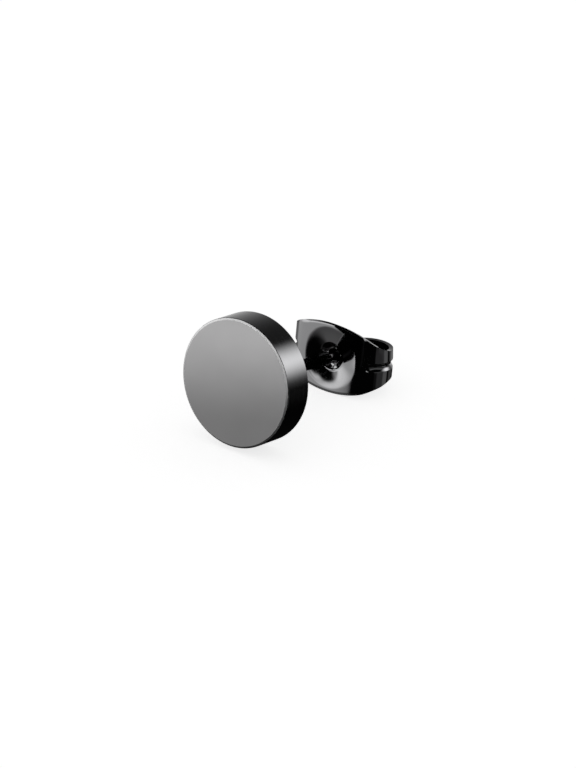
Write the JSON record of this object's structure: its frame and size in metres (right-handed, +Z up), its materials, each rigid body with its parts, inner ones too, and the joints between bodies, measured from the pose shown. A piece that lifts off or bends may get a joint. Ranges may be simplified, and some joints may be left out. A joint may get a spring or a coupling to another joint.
{
  "type": "round disc stud earring with butterfly clutch",
  "caption": "Black-plated round disc stud earring: a bevelled disc with a soldered post, held by a push-on butterfly clutch curled from one strip of sheet.",
  "frame": {"origin": "on the surface that the stud lies on, under the centre of its bounding box", "axes": "+Z up, the disc faces -Y, and the post runs back along +Y, 12.7 degrees below level, so that the stud lies on the disc's rim and on the lower edge of the clutch's plate"},
  "size_m": [0.008, 0.0138, 0.0082],
  "materials": {
    "black_plated_disc": "black plating over steel, satin front face, polished rim and post",
    "black_plated_sheet": "black plating over pressed steel sheet, polished"
  },
  "bodies": {
    "stud": {"disc_with_post": "black_plated_disc"},
    "clutch": {"butterfly_clutch": "black_plated_sheet"}
  },
  "joints": [
    {"name": "clutch_slide", "type": "slide", "parent": "stud", "child": "clutch", "axis": [0, 0.9756, -0.2195], "range_m": [-0.0072, 0.0045]}
  ]
}
